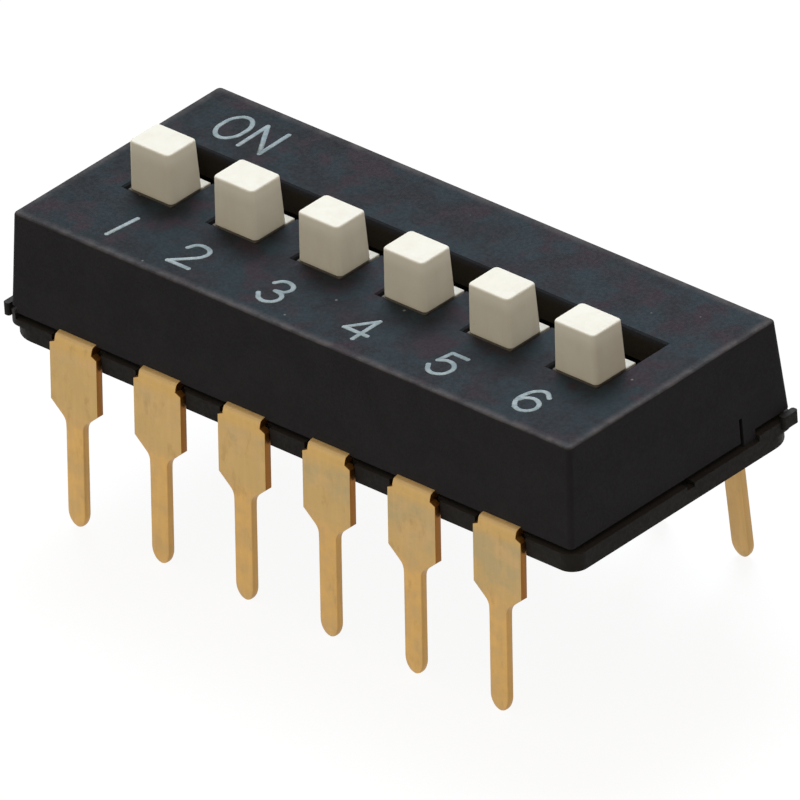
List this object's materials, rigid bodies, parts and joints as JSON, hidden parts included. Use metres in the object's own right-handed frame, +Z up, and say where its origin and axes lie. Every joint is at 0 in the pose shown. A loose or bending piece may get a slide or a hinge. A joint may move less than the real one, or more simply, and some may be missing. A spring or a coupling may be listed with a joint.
{
  "type": "dip switch",
  "caption": "Slide-actuated DIP switch: black drafted case with a comb-shaped slot, ivory sliding knobs and two rows of gold-plated through-hole leads.",
  "frame": {"origin": "Centre of the lead footprint, on the upper face of the circuit board, where the lead shoulders stop", "axes": "+X from position one to the last position, +Y from OFF to ON, +Z up from the board"},
  "size_m": [0.0172, 0.0082, 0.0084],
  "materials": {
    "cover_plastic": "black moulded polyester, fine matte grain",
    "base_plastic": "black moulded polyester, slightly glossier than the cover",
    "knob_plastic": "ivory moulded plastic, satin",
    "gold_plate": "gold plating over copper alloy strip, satin rolled face"
  },
  "bodies": {
    "housing": {"cover": "cover_plastic", "base": "base_plastic", "terminal_front_1": "gold_plate", "terminal_back_1": "gold_plate", "terminal_front_2": "gold_plate", "terminal_back_2": "gold_plate", "terminal_front_3": "gold_plate", "terminal_back_3": "gold_plate", "terminal_front_4": "gold_plate", "terminal_back_4": "gold_plate", "terminal_front_5": "gold_plate", "terminal_back_5": "gold_plate", "terminal_front_6": "gold_plate", "terminal_back_6": "gold_plate"},
    "slider_1": {"slider_1": "knob_plastic", "contact_1": "gold_plate"},
    "slider_2": {"slider_2": "knob_plastic", "contact_2": "gold_plate"},
    "slider_3": {"slider_3": "knob_plastic", "contact_3": "gold_plate"},
    "slider_4": {"slider_4": "knob_plastic", "contact_4": "gold_plate"},
    "slider_5": {"slider_5": "knob_plastic", "contact_5": "gold_plate"},
    "slider_6": {"slider_6": "knob_plastic", "contact_6": "gold_plate"}
  },
  "joints": [
    {"name": "slide_1", "type": "slide", "parent": "housing", "child": "slider_1", "axis": [0, 1, 0], "range_m": [0, 0.0009]},
    {"name": "slide_2", "type": "slide", "parent": "housing", "child": "slider_2", "axis": [0, 1, 0], "range_m": [0, 0.0009]},
    {"name": "slide_3", "type": "slide", "parent": "housing", "child": "slider_3", "axis": [0, 1, 0], "range_m": [0, 0.0009]},
    {"name": "slide_4", "type": "slide", "parent": "housing", "child": "slider_4", "axis": [0, 1, 0], "range_m": [0, 0.0009]},
    {"name": "slide_5", "type": "slide", "parent": "housing", "child": "slider_5", "axis": [0, 1, 0], "range_m": [0, 0.0009]},
    {"name": "slide_6", "type": "slide", "parent": "housing", "child": "slider_6", "axis": [0, 1, 0], "range_m": [0, 0.0009]}
  ]
}
